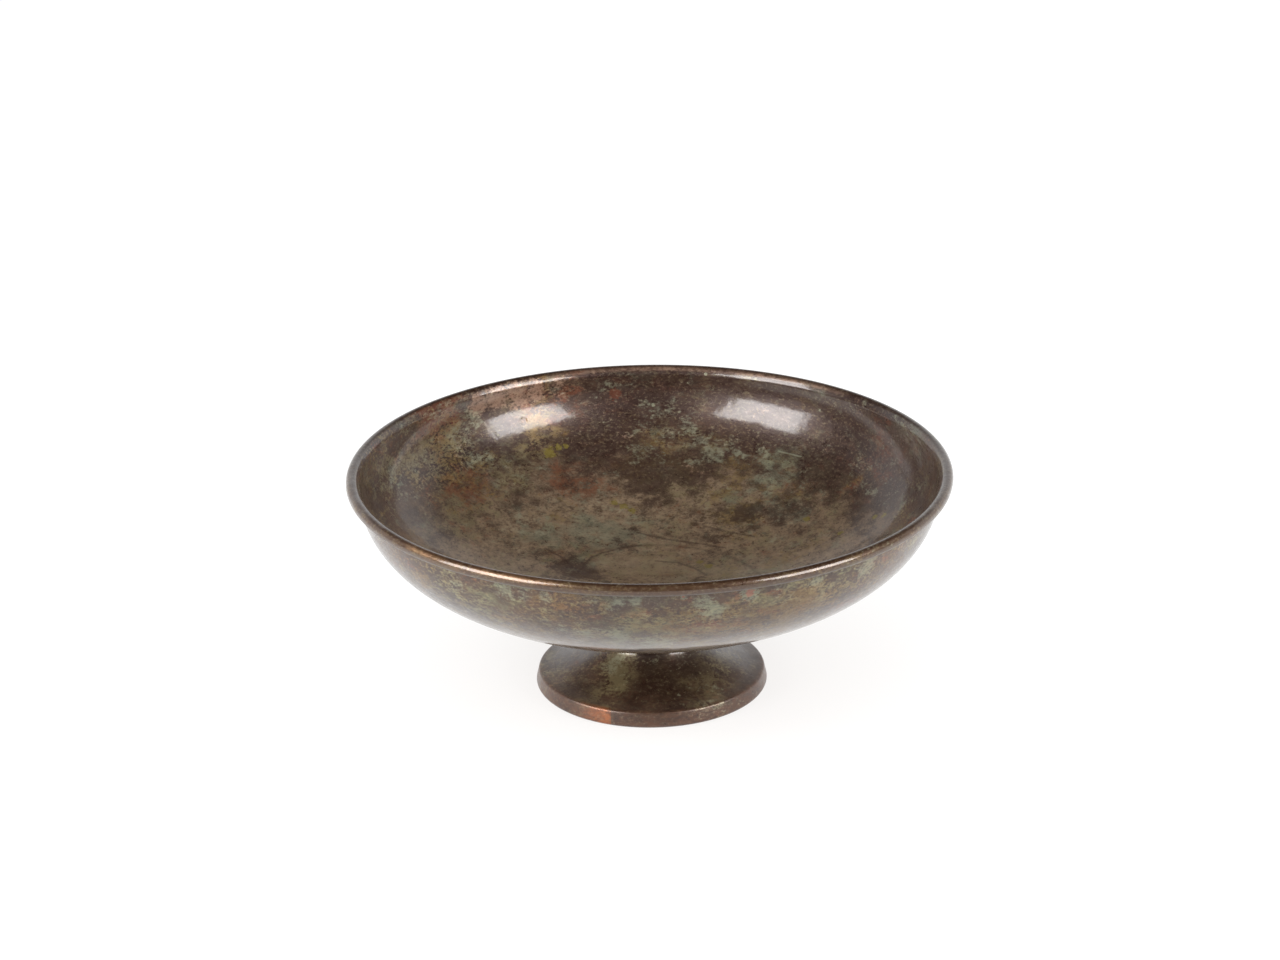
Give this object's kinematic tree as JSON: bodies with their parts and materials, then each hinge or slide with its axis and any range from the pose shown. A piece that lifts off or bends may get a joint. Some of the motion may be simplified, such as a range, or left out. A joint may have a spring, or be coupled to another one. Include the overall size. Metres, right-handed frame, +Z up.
{
  "type": "footed bowl",
  "caption": "Wide shallow spun-metal bowl with a rolled, wired lip, on a low flared foot with a narrow neck.",
  "frame": {"origin": "centre of the foot's resting face, on the axis", "axes": "+Z up along the bowl's axis of turning, from the foot to the open mouth; X and Y are alike"},
  "size_m": [0.2528, 0.2528, 0.0979],
  "materials": {
    "bowl_patina": "dark brown and grey-green patina under a glossy wax or lacquer",
    "foot_patina": "dark brown patina, worn to bare copper along the foot's band",
    "rim_wire": "drawn wire, dull",
    "solder": "dull grey soft solder"
  },
  "bodies": {
    "root": {"bowl": "bowl_patina", "rim_wire": "rim_wire", "foot": "foot_patina", "solder_joint": "solder"}
  },
  "joints": []
}
